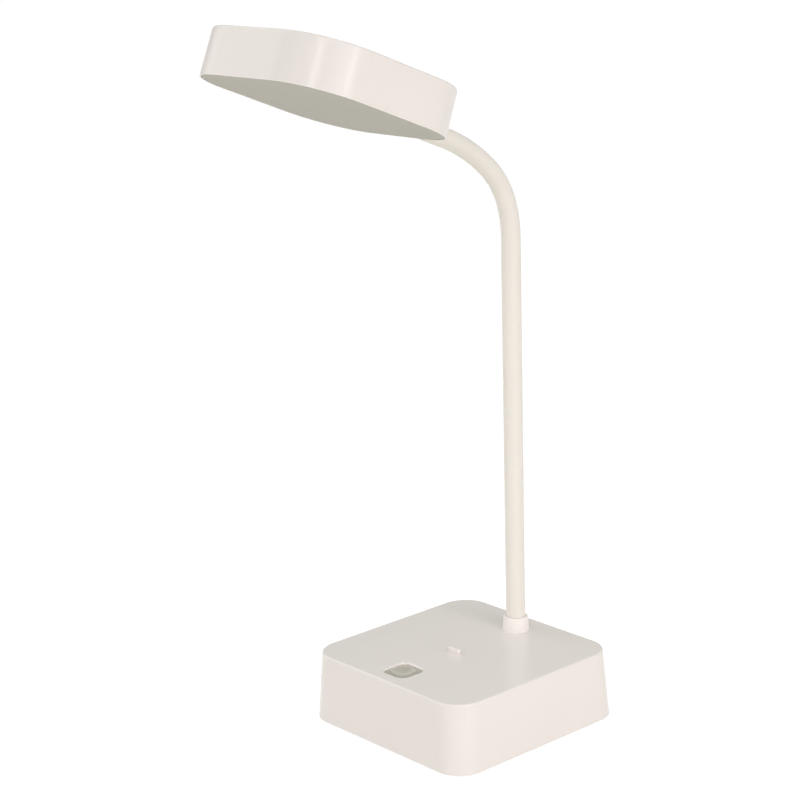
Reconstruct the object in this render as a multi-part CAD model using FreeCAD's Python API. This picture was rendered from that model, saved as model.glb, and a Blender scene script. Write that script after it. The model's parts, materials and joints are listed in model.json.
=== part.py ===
import FreeCAD, Part
import math
import os
from FreeCAD import Placement, Rotation, Vector

# A cordless gooseneck desk lamp. +Z up, +X right, the head reaches over the front, -Y.
# The origin is the centre of the face that the lamp rests on. All lengths in millimetres.

# Base housing
base_side = 120.0            # outer side at the foot of the walls
base_lean = 2.1              # how far each wall leans in by the top
base_height = 37.2           # from the foot of the walls to the top face
base_corner = 14.9           # outer corner radius at the foot
base_corner_growth = 0.7     # how much larger it is at the top
base_edge = 0.9              # rounding of the top edge
base_wall = 2.4
base_roof = 2.6
rim_wall = 1.2               # thin skirt that the base plate drops into
rib_wall = 1.6
rib_depth = 3.0
rib_place = 26.0             # two ribs run front to back at this distance from the middle

# Base plate, pad and ballast
plate_thickness = 2.4
pad_margin = 18.0            # from the foot of the walls to the pad
pad_corner = 10.0
pad_thickness = 1.4
pad_proud = 0.6              # the pad carries the lamp this far below the walls
ballast_margin = 6.0         # from a ballast screw to the end of the ballast plate
ballast_depth = 62.0
ballast_thickness = 4.0
ballast_centre = -7.0
ballast_corner = 4.0
rail_height = 2.0            # of the two rails that hold the ballast plate
post_radius = 2.6

# Fasteners
case_screw_margin = 13.0     # from the foot of the walls, along X and along Y
case_screw_head = 2.7
case_screw_length = 9.0
case_screw_land = 0.6        # plate left between a screw's head and its boss
ballast_screw_head = 3.6
ballast_screw_length = 4.6
small_screw_head = 1.9
small_screw_length = 5.0
shank_radius = 1.25
small_shank_radius = 0.9
boss_radius = 3.5
pan_height = 0.62            # height of a pan head over its radius
pan_flat = 0.72              # flat top of the head over its radius
pan_edge = 0.6               # upright edge of the head over its height
screw_tip = 0.5              # tip of the shank over its radius

# Phone stop moulded on the top
stop_width = 8.8
stop_height = 3.0
stop_thickness = 2.6
stop_edge = 1.0              # rounding of its top
stop_x = 1.1
phone_gap = 48.9             # from the front of the stop to the neck's axis

# Power button and its switch
button_x = -0.7
button_margin = 18.3         # from the foot of the front wall to the key's centre
button_opening = 17.0
button_corner = 4.6
opening_edge = 0.7           # bevel round the opening
button_sink = 1.3            # how far the key lies below the top face
button_body = 7.5
button_flange = 1.2
button_flange_reach = 1.3
button_skin = 1.6
button_edge = 0.4            # rounding round the key's top
button_dish = 2.0
button_stem = 2.4
button_travel = 1.2
guide_wall = 1.2
switch_side = 12.0
switch_height = 4.3
switch_corner = 0.8
switch_cover = 0.4           # thickness of the sheet cover
switch_cover_inset = 0.6
plunger_radius = 1.75
plunger_grip = 2.5           # length of plunger inside the switch
plunger_show = 1.4
plunger_bevel = 0.3
board_thickness = 1.6
board_corner = 1.5
switch_board_width = 32.0
switch_board_depth = 17.0
switch_post_place = 13.0

# Battery
cell_radius = 9.2
cell_length = 65.0
cell_margin = 18.0           # from the back edge of the ballast plate to the cell's axis
cell_edge = 0.8              # rounding of the cell's ends, and how far its cap stands out
cell_cap_radius = 3.8
cell_crimp = 0.6             # depth of the groove near the cap
cell_crimp_place = 4.0       # from the cap's end
cradle_wall = 1.6
cradle_ear = 5.5             # from the end of the cradle to the screw beside it
cradle_window = 16.0         # length of each opening in its sides
cradle_floor = 1.4
cradle_lip = 1.2             # top of the cradle below the cell's axis

# Control board and its charging socket
control_width = 58.0
control_depth = 24.0
control_height = 6.6         # underside of the board above the base plate
control_post_x = 24.0
control_edge = 1.4           # from the back of the board to the back wall
usb_width = 8.94
usb_height = 3.26
usb_depth = 7.4
usb_skin = 0.3
tongue_width = 6.7
tongue_height = 0.7
tongue_length = 5.9
tongue_corner = 0.6
tongue_foot = 1.8            # length of the thick end
tongue_foot_height = 2.2
connector_width = 6.0
connector_depth = 4.0
connector_height = 4.2
connector_wall = 0.6
connector_pitch = 12.0       # three connectors, the middle one behind the switch
chip_side = 5.0
chip_thickness = 1.0
chip_corner = 0.3
chip_x = 11.0
inductor_side = 7.0
inductor_height = 3.0
inductor_x = -11.0
inductor_corner = 1.8
inductor_well = 2.2          # radius of the dimple in its top
inductor_well_depth = 0.4
thin_lead_radius = 0.6
switch_lead_radius = 0.8
contact_pitch = 2.6          # between the two leads in one connector
lead_turn = 6.0              # straight run of a lead before it turns
lead_sag = 1.0               # how far a lead droops beside its highest point
lead_joint = 4.0             # how far the lead in the neck reaches out of the ferrule's seat

# Neck: a gooseneck under a silicone sleeve, with a lead inside
neck_margin = 19.0           # from the foot of the back wall to the neck's axis
collar_foot = 7.35           # outer radius at the foot
collar_top = 6.75
collar_height = 8.0
collar_edge = 0.5
neck_foot = 6.0              # upright run above the collar
lean_radius = 300.0          # the neck then leans back a little
lean_turn = 0.4              # degrees
neck_rise = 202.4            # straight run above that
low_bend_radius = 61.3
low_bend_turn = 16.3         # degrees, towards the front
mid_bend_radius = 46.3
mid_bend_turn = 31.3
top_bend_radius = 98.1
top_bend_turn = 21.1
neck_tail = 29.3             # straight run from the last bend to the head
sleeve_radius = 5.2
sleeve_wall = 1.0
coil_radius = 3.9
coil_bore = 1.8
lead_radius = 1.0
first_joint = 22.0           # above the collar
last_joint = 22.6            # before the head
joint_count = 7
ferrule_radius = 5.0
ferrule_drop = 14.0          # below the top face
ferrule_rise = 3.6           # above it
ferrule_flange = 6.0
ferrule_flange_height = 1.6
ferrule_socket = 10.0        # depth of the coil's seat below the top face
ferrule_bore = 2.4
ferrule_bevel = 0.5
nut_flats = 14.0
nut_height = 4.0
nut_bevel = 0.75             # height of the turned-off corners
nut_bevel_reach = 1.06       # and how far in they start
washer_radius = 9.0
washer_height = 1.0
neck_boss_radius = 11.0
neck_boss_height = 1.4

# Head
head_side = 103.8            # outer side at the rim
head_lean = 0.3              # how far each side leans in by the top
head_height = 24.0
head_corner = 31.0
head_edge = 1.0
head_wall = 2.2
head_rim = 0.7               # lip left outside the diffuser
head_ledge = 2.4
head_ledge_height = 1.5
neck_entry = 7.3             # neck axis above the rim
diffuser_thickness = 1.5
diffuser_sink = 0.2          # diffuser face above the rim
light_side = 80.0
light_corner = 20.0
light_thickness = 1.2
light_height = 14.0          # underside of the light board above the rim
light_screw_place = 24.0
chip_rows = 6
chip_pitch = 12.0
chip_size = 3.0
chip_height = 0.8
fitting_sink = 1.2           # the sleeve enters the wall this far
fitting_flange = 0.6
fitting_radius = 4.6
fitting_length = 14.0        # from the wall's outer face
fitting_socket = 9.0
saddle_end = 10.0            # from the wall's outer face
saddle_half_width = 8.0
saddle_foot = 4.0            # above the rim
clip_thickness = 1.0
clip_top = 13.5
clip_foot = 2.6
saddle_mouth = 7.2           # width of the gap that the fitting snaps through
fitting_groove = 1.1         # depth of the groove that the clip grips
fitting_bevel = 0.4
clip_corner = 0.9

# Clearances
slip = 0.2                   # plates and boards beside walls and posts
touch = 0.05                 # screws, fittings and plungers in their holes
loose = 0.3                  # the key in its opening, and one gooseneck stretch in the next

base_bottom = pad_proud
pad_side = base_side - 2 * pad_margin
case_screw_place = base_side / 2 - case_screw_margin
neck_y = base_side / 2 - neck_margin
button_y = button_margin - base_side / 2
button_place = (button_x, button_y)
stop_front = neck_y - phone_gap
cell_y = ballast_centre + ballast_depth / 2 - cell_margin
ballast_screw_place = cell_length / 2 + 2 * slip + cradle_wall + cradle_ear
ballast_length = 2 * (ballast_screw_place + ballast_margin)
top_z = base_bottom + base_height
roof_z = top_z - base_roof
plate_top = base_bottom + plate_thickness
ballast_top = plate_top + ballast_thickness
cell_z = ballast_top + cradle_floor + cell_radius + touch
control_z = plate_top + control_height
key_z = top_z - button_sink - button_body
switch_top = key_z - plunger_show
switch_board_z = switch_top - switch_height - board_thickness
sleeve_bore = sleeve_radius - sleeve_wall
collar_z = top_z + collar_height


# ---- shapes that several pieces share ----

def rounded_wire(width, depth, radius, z, x=0.0, y=0.0):
    """A closed outline with round corners, flat at height z."""
    a, b = width / 2 - radius, depth / 2 - radius
    edges = []
    for turn, (cx, cy) in enumerate([(a, b), (-a, b), (-a, -b), (a, -b)]):
        centre = Vector(x + cx, y + cy, z)
        rim = [centre + Vector(radius * math.cos(t), radius * math.sin(t), 0)
               for t in (math.pi / 2 * (turn + part) for part in (0, 0.5, 1))]
        if edges and (edges[-1].Vertexes[-1].Point - rim[0]).Length > 1e-7:
            edges.append(Part.LineSegment(edges[-1].Vertexes[-1].Point, rim[0]).toShape())
        edges.append(Part.Arc(*rim).toShape())
    edges.append(Part.LineSegment(edges[-1].Vertexes[-1].Point, edges[0].Vertexes[0].Point).toShape())
    return Part.Wire(edges)


def slab(width, depth, radius, low, high, x=0.0, y=0.0):
    return Part.Face(rounded_wire(width, depth, radius, low, x, y)).extrude(Vector(0, 0, high - low))


def box(width, depth, low, high, x=0.0, y=0.0):
    return Part.makeBox(width, depth, high - low, Vector(x - width / 2, y - depth / 2, low))


def drafted(side, lean, radius, growth, height, inset, low, high):
    """A square block with leaning walls, inset all round, between two heights above its foot."""
    wires = []
    for z in (low, high):
        share = z / height
        width = side - 2 * lean * share - 2 * inset
        wires.append(rounded_wire(width, width, radius + growth * share - inset, z))
    return Part.makeLoft(wires, True, True)


def bevelled(side, radius, edge, z, x, y):
    """What a bevel takes away round a square opening in a face at height z."""
    wires = [rounded_wire(*[side + 2 * reach] * 2, radius + reach, z + rise, x, y)
             for rise, reach in ((-edge, 0), (edge, 2 * edge))]
    return Part.makeLoft(wires, True, True)


def post(radius, low, high, x=0.0, y=0.0):
    return Part.makeCylinder(radius, high - low, Vector(x, y, low))


def turned(profile, x=0.0, y=0.0):
    """A solid of revolution about an upright axis, from (radius, height) points."""
    points = [Vector(x + r, y, z) for r, z in profile]
    face = Part.Face(Part.makePolygon(points + points[:1]))
    return face.revolve(Vector(x, y, 0), Vector(0, 0, 1), 360)


def joined(first, *rest):
    return first.multiFuse([s for r in rest for s in (r if isinstance(r, list) else [r])]).removeSplitter()


def less(solid, *cuts):
    return solid.cut([s for c in cuts for s in (c if isinstance(c, list) else [c])])


def screw(x, y, seat, up, head, shank, length):
    """A pan-head screw whose head lies on the seat; up is 1 where the shank points up."""
    height = head * pan_height
    profile = [(0, -height), (head * pan_flat, -height), (head, -height * pan_edge), (head, 0), (shank, 0),
               (shank, length - shank), (shank * screw_tip, length), (0, length)]
    return turned([(r, seat + up * z) for r, z in profile], x, y)


def four(place_x, place_y, y=0.0):
    return [(sx * place_x, y + sy * place_y) for sx in (-1, 1) for sy in (-1, 1)]


# ---- the neck's centre line ----

def neck_spans():
    """Spans of the centre line from the collar up: (start, length, point, heading, radius)."""
    spans = []
    point, heading, start = Vector(0, neck_y, collar_z), 0.0, 0.0
    for radius, turn in [(None, neck_foot), (-lean_radius, -lean_turn), (None, neck_rise),
                         (low_bend_radius, low_bend_turn), (mid_bend_radius, mid_bend_turn),
                         (top_bend_radius, top_bend_turn), (None, neck_tail)]:
        length = turn if radius is None else radius * math.radians(turn)
        spans.append((start, length, point, heading, radius))
        point, heading = along(spans[-1], length)
        start += length
    return spans


def forward(heading):
    return Vector(0, -math.sin(heading), math.cos(heading))


def inward(heading):
    return Vector(0, -math.cos(heading), -math.sin(heading))


def along(span, distance):
    """The point and heading at a distance into a span."""
    _, _, point, heading, radius = span
    if radius is None:
        return point + forward(heading) * distance, heading
    later = heading + distance / radius
    return point + (inward(heading) - inward(later)) * radius, later


spans = neck_spans()
neck_length = sum(span[1] for span in spans)


def station(distance):
    """The point and heading on the centre line at a distance above the collar; below, it runs upright."""
    for span in reversed(spans):
        if distance >= span[0]:
            return along(span, distance - span[0])
    return along(spans[0], distance)


def swept(low, high, radius, bore=0.0):
    """A round rod or tube along the centre line, between two distances."""
    lengths = []
    for number, (start, length, _, _, bend) in enumerate(spans):
        a = max(low, start) if number else low
        b = min(high, start + length) if number < len(spans) - 1 else high
        if b - a < 1e-6:
            continue
        point, heading = along(spans[number], a - start)
        ring = Part.Face(Part.Wire(Part.Circle(point, forward(heading), radius).toShape()))
        if bore:
            ring = ring.cut(Part.Face(Part.Wire(Part.Circle(point, forward(heading), bore).toShape())))
        if bend is None:
            lengths.append(ring.extrude(forward(heading) * (b - a)))
        else:
            middle = point + inward(heading) * bend
            lengths.append(ring.revolve(middle, Vector(1, 0, 0), math.degrees((b - a) / bend)))
    rod = lengths[0] if len(lengths) == 1 else joined(lengths[0], lengths[1:])
    return rod.Solids[0] if rod.Solids else rod


joints = [first_joint + (neck_length - last_joint - first_joint) * k / (joint_count - 1)
          for k in range(joint_count)]


def linked(low, high, radius, bore=0.0, ball=True, cup=True):
    """A stretch that ends in a ball at its lower joint and a cup at its upper one."""
    rod = swept(low, high, radius)
    if ball:
        point, heading = station(low)
        rod = joined(rod, Part.makeSphere(radius, point, forward(heading) * -1, 0, 90, 360))
    if cup:
        rod = rod.cut(Part.makeSphere(radius + loose, station(high)[0]))
    if bore:
        rod = rod.cut(swept(low - radius * 2, high + radius, bore))
    return max(rod.Solids, key=lambda s: s.Volume)


# ---- base ----

def base_housing():
    def block(inset, low, high):
        return drafted(base_side, base_lean, base_corner, base_corner_growth, base_height, inset, low, high)

    shell = block(0, 0, base_height)
    edges = [e for e in shell.Edges if min(v.Z for v in e.Vertexes) > base_height - 0.01]
    shell = shell.makeFillet(base_edge, edges)
    shell = less(shell, block(base_wall, plate_thickness, base_height - base_roof),
                 block(rim_wall, -1.0, plate_thickness))
    shell.translate(Vector(0, 0, base_bottom))

    room = block(base_wall / 2, plate_thickness, base_height - base_roof)
    room.translate(Vector(0, 0, base_bottom))
    ribs = [box(rib_wall, base_side, roof_z - rib_depth, roof_z, sx * rib_place, 0) for sx in (-1, 1)]
    ribs.append(box(base_side, rib_wall, roof_z - rib_depth, roof_z, 0, cell_y + cell_radius + boss_radius))
    web = base_side / 2 - case_screw_place
    for x, y in four(case_screw_place, case_screw_place):
        ribs.append(post(boss_radius, plate_top, roof_z, x, y))
        ribs.append(box(web, rib_wall, plate_top, roof_z, x + math.copysign(web / 2, x), y))
    ribs = [rib.common(room) for rib in ribs]

    opening = slab(button_opening, button_opening, button_corner, key_z, top_z + 1, *button_place)
    bevel = bevelled(button_opening, button_corner, opening_edge, top_z, *button_place)
    guide_low = key_z + button_flange + touch
    guide_side = button_opening + 2 * guide_wall
    guide = slab(guide_side, guide_side, button_corner + guide_wall, guide_low, roof_z, *button_place)
    posts = [post(post_radius, switch_board_z + board_thickness, roof_z, x, y) for x, y in switch_places()]
    neck_boss = post(neck_boss_radius, roof_z - neck_boss_height, roof_z, 0, neck_y)
    neck_boss = neck_boss.common(room)
    stop = slab(stop_width, stop_thickness, stop_thickness / 2 - touch, top_z - base_roof / 2,
                top_z + stop_height, stop_x, stop_front + stop_thickness / 2)
    crest = [e for e in stop.Edges if min(v.Z for v in e.Vertexes) > top_z + stop_height - 0.01]
    stop = stop.makeFillet(stop_edge, crest)
    shell = joined(shell, ribs, guide, posts, neck_boss, stop)

    pilots = [post(shank_radius + touch, plate_top - 1, plate_top + case_screw_length, x, y)
              for x, y in four(case_screw_place, case_screw_place)]
    pilot_top = switch_board_z + board_thickness + small_screw_length
    pilots += [post(small_shank_radius + touch, switch_board_z, pilot_top, x, y) for x, y in switch_places()]
    neck_hole = post(ferrule_radius + slip, roof_z - neck_boss_height - 1, top_z + 1, 0, neck_y)
    return less(shell, opening, bevel, pilots, neck_hole, usb_hole())


def switch_places():
    return [(button_x + sx * switch_post_place, button_y) for sx in (-1, 1)]


def usb_centre():
    return control_z + board_thickness + usb_height / 2


def back_wall(z):
    """The outer face of the back wall at a height."""
    return base_side / 2 - base_lean * (z - base_bottom) / base_height


def usb_block(grow, front, back):
    """A stadium-shaped block around the socket's axis, along Y."""
    width, height = usb_width + 2 * grow, usb_height + 2 * grow
    block = slab(width, height, height / 2 - 0.01, 0, back - front)
    block.Placement = Placement(Vector(0, front, usb_centre()), Rotation(Vector(1, 0, 0), -90))
    return block


def usb_hole():
    wall = back_wall(usb_centre())
    return usb_block(slip, wall - base_wall * 2, wall + base_wall)


def base_plate():
    side = base_side - 2 * rim_wall - 2 * slip - 2 * base_lean * plate_thickness / base_height
    plate = slab(side, side, base_corner - rim_wall - slip, base_bottom, plate_top)
    well = slab(pad_side + 2 * slip, pad_side + 2 * slip, pad_corner + slip, base_bottom - 1, pad_thickness)
    plate = plate.cut(well)
    posts = [post(post_radius, pad_thickness, ballast_top - slip, x, y) for x, y in ballast_places()]
    posts += [post(post_radius, pad_thickness, control_z, x, y) for x, y in control_places()]
    rails = [box(ballast_length + 4 * slip, rib_wall, plate_top, plate_top + rail_height, 0, y)
             for y in (ballast_centre - ballast_depth / 2 - rib_wall / 2 - slip,
                       ballast_centre + ballast_depth / 2 + rib_wall / 2 + slip)]
    plate = joined(plate, posts, rails)
    holes = []
    for x, y in four(case_screw_place, case_screw_place):
        holes.append(post(shank_radius + slip, base_bottom - 1, plate_top + 1, x, y))
        holes.append(post(case_screw_head + slip, base_bottom - 1, case_seat(), x, y))
    for x, y in ballast_places():
        bottom = ballast_top - ballast_screw_length - touch
        holes.append(post(shank_radius + touch, bottom, ballast_top + 1, x, y))
    for x, y in control_places():
        holes.append(post(small_shank_radius + touch, control_z - small_screw_length, control_z + 1, x, y))
    return less(plate, holes)


def case_seat():
    """Height of the face that the case screws' heads press on."""
    return plate_top - case_screw_land


def ballast_places():
    return [(sx * ballast_screw_place, y) for sx in (-1, 1)
            for y in (cell_y, ballast_centre - ballast_depth / 2 + ballast_margin)]


def control_y():
    return back_wall(control_z) - base_wall - control_edge - control_depth / 2


def control_places():
    return four(control_post_x, control_depth / 2 - 1.5 * post_radius, control_y())


def base_pad():
    return slab(pad_side, pad_side, pad_corner, 0, pad_thickness)


def ballast_plate():
    plate = slab(ballast_length, ballast_depth, ballast_corner, plate_top, ballast_top, 0, ballast_centre)
    return less(plate, [post(post_radius + slip, plate_top - 1, ballast_top + 1, x, y)
                        for x, y in ballast_places()])


def battery_cradle():
    length = cell_length + 2 * cradle_wall + 4 * slip
    width = 2 * (cell_radius + cradle_wall)
    block = box(length, width, ballast_top, cell_z - cradle_lip, 0, cell_y)
    block = block.fuse(slab(2 * ballast_screw_place + 4 * post_radius, 4 * post_radius, post_radius,
                            ballast_top, ballast_top + cradle_floor, 0, cell_y))
    trough = Part.makeCylinder(cell_radius + touch, cell_length + 4 * slip,
                               Vector(-cell_length / 2 - 2 * slip, cell_y, cell_z), Vector(1, 0, 0))
    windows = [box(cradle_window, width + 2, ballast_top + 2 * cradle_floor, cell_z + 1,
                   sx * cradle_window, cell_y) for sx in (-1, 1)]
    holes = [post(shank_radius + slip, ballast_top - 1, cell_z, x, y) for x, y in ballast_places()]
    return less(block, trough, windows, holes).removeSplitter()


def battery_cell():
    r, half, edge = cell_radius, cell_length / 2, cell_edge
    groove = half - cell_crimp_place
    profile = [(0, -half), (r - edge, -half), (r, -half + edge), (r, groove),
               (r - cell_crimp, groove + cell_crimp), (r - cell_crimp, groove + 2 * cell_crimp),
               (r, groove + 3 * cell_crimp), (r, half - 2 * edge), (r - edge, half - edge),
               (cell_cap_radius, half - edge), (cell_cap_radius, half), (0, half)]
    cell = turned(profile)
    cell.Placement = Placement(Vector(0, cell_y, cell_z), Rotation(Vector(0, 1, 0), 90))
    return cell


def control_board():
    board = slab(control_width, control_depth, board_corner, control_z, control_z + board_thickness,
                 0, control_y())
    return less(board, [post(small_shank_radius + slip, control_z - 1, control_z + board_thickness + 1, x, y)
                        for x, y in control_places()])


def board_screws():
    top = control_z + board_thickness
    screws = [screw(x, y, top, -1, small_screw_head, small_shank_radius, small_screw_length)
              for x, y in control_places()]
    screws += [screw(x, y, switch_board_z, 1, small_screw_head, small_shank_radius, small_screw_length)
               for x, y in switch_places()]
    return Part.makeCompound(screws)


def usb_socket():
    mouth = back_wall(usb_centre()) - 2 * slip
    shell = usb_block(0, mouth - usb_depth, mouth)
    return shell.cut(usb_block(-usb_skin, mouth - usb_depth + 2 * usb_skin, mouth + 1))


def usb_tongue():
    mouth = back_wall(usb_centre()) - 2 * slip
    front = mouth - usb_depth + 2 * usb_skin
    tongue = slab(tongue_width, tongue_length, tongue_corner, -tongue_height / 2, tongue_height / 2, 0,
                  front + tongue_length / 2)
    foot = box(tongue_width, tongue_foot, -tongue_foot_height / 2, tongue_foot_height / 2,
               0, front + tongue_foot / 2)
    tongue = joined(tongue, foot)
    tongue.translate(Vector(0, 0, usb_centre()))
    return tongue


def connector_places():
    y = control_y() - control_depth / 2 + connector_depth / 2 + 1.0
    return [(x * connector_pitch, y) for x in (-1, 0, 1)]


def lead_connectors():
    low = control_z + board_thickness
    sockets = []
    for x, y in connector_places():
        block = box(connector_width, connector_depth, low, low + connector_height, x, y)
        well = box(connector_width - 2 * connector_wall, connector_depth - 2 * connector_wall,
                   connector_floor(), low + connector_height + 1, x, y)
        sockets.append(block.cut(well))
    return Part.makeCompound(sockets)


def charger_chip():
    low = control_z + board_thickness
    return slab(chip_side, chip_side, chip_corner, low, low + chip_thickness, chip_x, control_y())


def power_inductor():
    low = control_z + board_thickness
    high = low + inductor_height
    block = slab(inductor_side, inductor_side, inductor_corner, low, high, inductor_x, control_y())
    return block.cut(post(inductor_well, high - inductor_well_depth, high + 1, inductor_x, control_y()))


# ---- power button ----

def power_button():
    side = button_opening - 2 * loose
    corner = button_corner - loose
    top = key_z + button_body
    key = slab(side, side, corner, key_z, top, *button_place)
    rim = [e for e in key.Edges if min(v.Z for v in e.Vertexes) > top - 0.01]
    key = key.makeFillet(button_edge, rim)
    reach = side / 2 - button_skin / 2
    ball = (reach ** 2 + button_dish ** 2) / (2 * button_dish)
    flange = slab(*[side + 2 * button_flange_reach] * 2, corner + button_flange_reach,
                  key_z, key_z + button_flange, *button_place)
    key = joined(key, flange)
    inner = side - 2 * button_skin
    hollow = slab(inner, inner, corner - button_skin / 2, key_z - 1, top - button_dish - button_skin,
                  *button_place)
    hollow = hollow.cut(post(button_stem, key_z, top, *button_place))
    dish = Part.makeSphere(ball, Vector(*button_place, top - button_dish + ball))
    return less(key, dish, hollow)


def switch_body():
    seam = switch_top - switch_cover
    block = slab(switch_side, switch_side, switch_corner, switch_top - switch_height, seam, *button_place)
    cover = slab(*[switch_side - 2 * switch_cover_inset] * 2, switch_corner, seam, switch_top, *button_place)
    bottom = switch_top - plunger_grip - button_travel - slip
    hole = post(plunger_radius + touch, bottom, switch_top + 1, *button_place)
    return less(joined(block, cover), hole)


def switch_plunger():
    r = plunger_radius
    low, high = switch_top - plunger_grip, key_z
    return turned([(0, low), (r, low), (r, high - plunger_bevel), (r - plunger_bevel, high), (0, high)],
                  *button_place)


def switch_board():
    high = switch_board_z + board_thickness
    board = slab(switch_board_width, switch_board_depth, board_corner, switch_board_z, high, *button_place)
    return less(board, [post(small_shank_radius + slip, switch_board_z - 1, high + 1, x, y)
                        for x, y in switch_places()])


# ---- neck fixing ----

def neck_ferrule():
    low, high = top_z - ferrule_drop, top_z + ferrule_rise
    seat = coil_radius + touch
    flange = top_z + ferrule_flange_height
    profile = [(ferrule_bore, low), (ferrule_radius - ferrule_bevel, low),
               (ferrule_radius, low + ferrule_bevel), (ferrule_radius, top_z), (ferrule_flange, top_z),
               (ferrule_flange, flange), (ferrule_radius, flange), (ferrule_radius, high), (seat, high),
               (seat, top_z - ferrule_socket), (ferrule_bore, top_z - ferrule_socket)]
    return turned(profile, 0, neck_y)


def neck_collar():
    counter = top_z + ferrule_flange_height + touch
    bore = sleeve_radius + 3 * touch
    profile = [(ferrule_flange + touch, top_z), (collar_foot, top_z), (collar_top, collar_z - collar_edge),
               (collar_top - collar_edge, collar_z), (bore, collar_z), (bore, counter),
               (ferrule_flange + touch, counter)]
    return turned(profile, 0, neck_y)


def ferrule_washer():
    high = roof_z - neck_boss_height
    ring = post(washer_radius, high - washer_height, high, 0, neck_y)
    return ring.cut(post(ferrule_radius + slip, high - washer_height - 1, high + 1, 0, neck_y))


def ferrule_nut():
    high = roof_z - neck_boss_height - washer_height
    low = high - nut_height
    across = nut_flats / math.sqrt(3)
    turns = [math.radians(60 * k) for k in range(6)]
    corners = [Vector(across * math.cos(t), neck_y + across * math.sin(t), low) for t in turns]
    nut = Part.Face(Part.makePolygon(corners + corners[:1])).extrude(Vector(0, 0, nut_height))
    inner = across - nut_bevel_reach
    rounding = turned([(0, low), (inner, low), (across, low + nut_bevel), (across, high - nut_bevel),
                       (inner, high), (0, high)], 0, neck_y)
    return less(nut.common(rounding), post(ferrule_radius + touch, low - 1, high + 1, 0, neck_y))


# ---- leads inside the base ----

def lead(points, radius=lead_radius):
    """A round lead through points, each corner an arc as large as its two runs allow."""
    points = [Vector(*p) for p in points]
    edges, last = [], points[0]
    for before, corner, after in zip(points, points[1:], points[2:]):
        a, b = (before - corner), (after - corner)
        half = a.getAngle(b) / 2
        reach = 0.45 * min(a.Length, b.Length)
        a.normalize()
        b.normalize()
        start, end = corner + a * reach, corner + b * reach
        axis = (a + b).normalize()
        middle = corner + axis * (reach / math.cos(half) - reach * math.tan(half))
        edges.append(Part.LineSegment(last, start).toShape())
        edges.append(Part.Arc(start, middle, end).toShape())
        last = end
    edges.append(Part.LineSegment(last, points[-1]).toShape())
    route = Part.Wire(edges)
    ring = Part.Wire(Part.Circle(points[0], points[1] - points[0], radius).toShape())
    return route.makePipeShell([ring], True, False)


def connector_floor():
    return control_z + board_thickness + connector_wall


def battery_leads():
    """One lead from each end of the cell, round behind it, to the left connector."""
    x, y = connector_places()[0]
    end = cell_length / 2
    behind = cell_y + cell_radius + 4 * lead_radius
    leads = []
    for side in (-1, 1):
        out, pin = side * (end + lead_turn - lead_sag), x + side * contact_pitch / 2
        leads.append(lead([(side * end, cell_y, cell_z), (out, cell_y, cell_z), (out, behind, cell_z),
                           (pin + side * lead_turn, behind + lead_sag, cell_z), (pin, y, cell_z + lead_sag),
                           (pin, y, connector_floor())], thin_lead_radius))
    return Part.makeCompound(leads)


def switch_lead():
    """From under the switch board, up over the cell and down to the middle connector."""
    x, y = connector_places()[1]
    over = cell_z + cell_radius + 3 * switch_lead_radius
    front = button_y + switch_board_depth / 2 - 3 * switch_lead_radius
    under = switch_board_z - lead_turn
    return lead([(button_x, front, switch_board_z), (button_x, front, under),
                 (button_x, front + 2 * lead_turn, under + lead_sag),
                 (x, cell_y - cell_radius - lead_turn, over - lead_sag), (x, cell_y, over),
                 (x, y - 2 * lead_turn, over - lead_sag), (x, y, over - 1.5 * lead_turn),
                 (x, y, connector_floor())], switch_lead_radius)


def neck_lead_foot():
    """From the right connector up into the ferrule."""
    x, y = connector_places()[2]
    low = top_z - ferrule_drop
    return lead([(x, y, connector_floor()), (x, y, connector_floor() + lead_turn),
                 (lead_turn, neck_y - 2 * lead_radius, low - lead_turn + lead_sag),
                 (0, neck_y, low - lead_turn / 2), (0, neck_y, low + lead_joint)], lead_radius)


# ---- head, built level with its rim's centre at the origin, its back at +Y ----

def head_housing():
    def block(inset, low, high):
        return drafted(head_side, head_lean, head_corner, 0.0, head_height, inset, low, high)

    shell = block(0, 0, head_height)
    edges = [e for e in shell.Edges if min(v.Z for v in e.Vertexes) > head_height - 0.01]
    shell = shell.makeFillet(head_edge, edges)
    seat = diffuser_sink + diffuser_thickness
    roof = head_height - head_wall
    shell = less(shell, block(head_rim, -1, seat),
                 block(head_rim + head_ledge, seat, seat + head_ledge_height),
                 block(head_wall, seat + head_ledge_height, roof))
    back = head_side / 2
    saddle = box(2 * saddle_half_width, saddle_end - head_wall / 2, saddle_foot, roof + head_wall / 2,
                 0, back - saddle_end / 2 - head_wall / 4)
    channel = Part.makeCylinder(fitting_radius + touch, saddle_end * 2,
                                Vector(0, back - saddle_end * 2, neck_entry), Vector(0, 1, 0))
    mouth = box(saddle_mouth, saddle_end, 0, neck_entry, 0, back - head_wall - saddle_end / 2)
    entry = Part.makeCylinder(sleeve_radius + 3 * touch, saddle_end,
                              Vector(0, back - fitting_sink - fitting_flange, neck_entry), Vector(0, 1, 0))
    posts = [post(boss_radius, light_height + light_thickness, roof + head_wall / 2, x, y)
             for x, y in four(light_screw_place, light_screw_place)]
    length, low, high = 2 * light_screw_place, roof - rib_depth, roof + head_wall / 2
    ribs = [box(length, rib_wall, low, high, 0, sy * light_screw_place) for sy in (-1, 1)]
    ribs += [box(rib_wall, length, low, high, sx * light_screw_place, 0) for sx in (-1, 1)]
    shell = joined(shell, saddle, posts, ribs)
    pilot_top = light_height + light_thickness + small_screw_length
    pilots = [post(small_shank_radius + touch, light_height, pilot_top, x, y)
              for x, y in four(light_screw_place, light_screw_place)]
    return less(shell, channel, entry, mouth, pilots)


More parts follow.
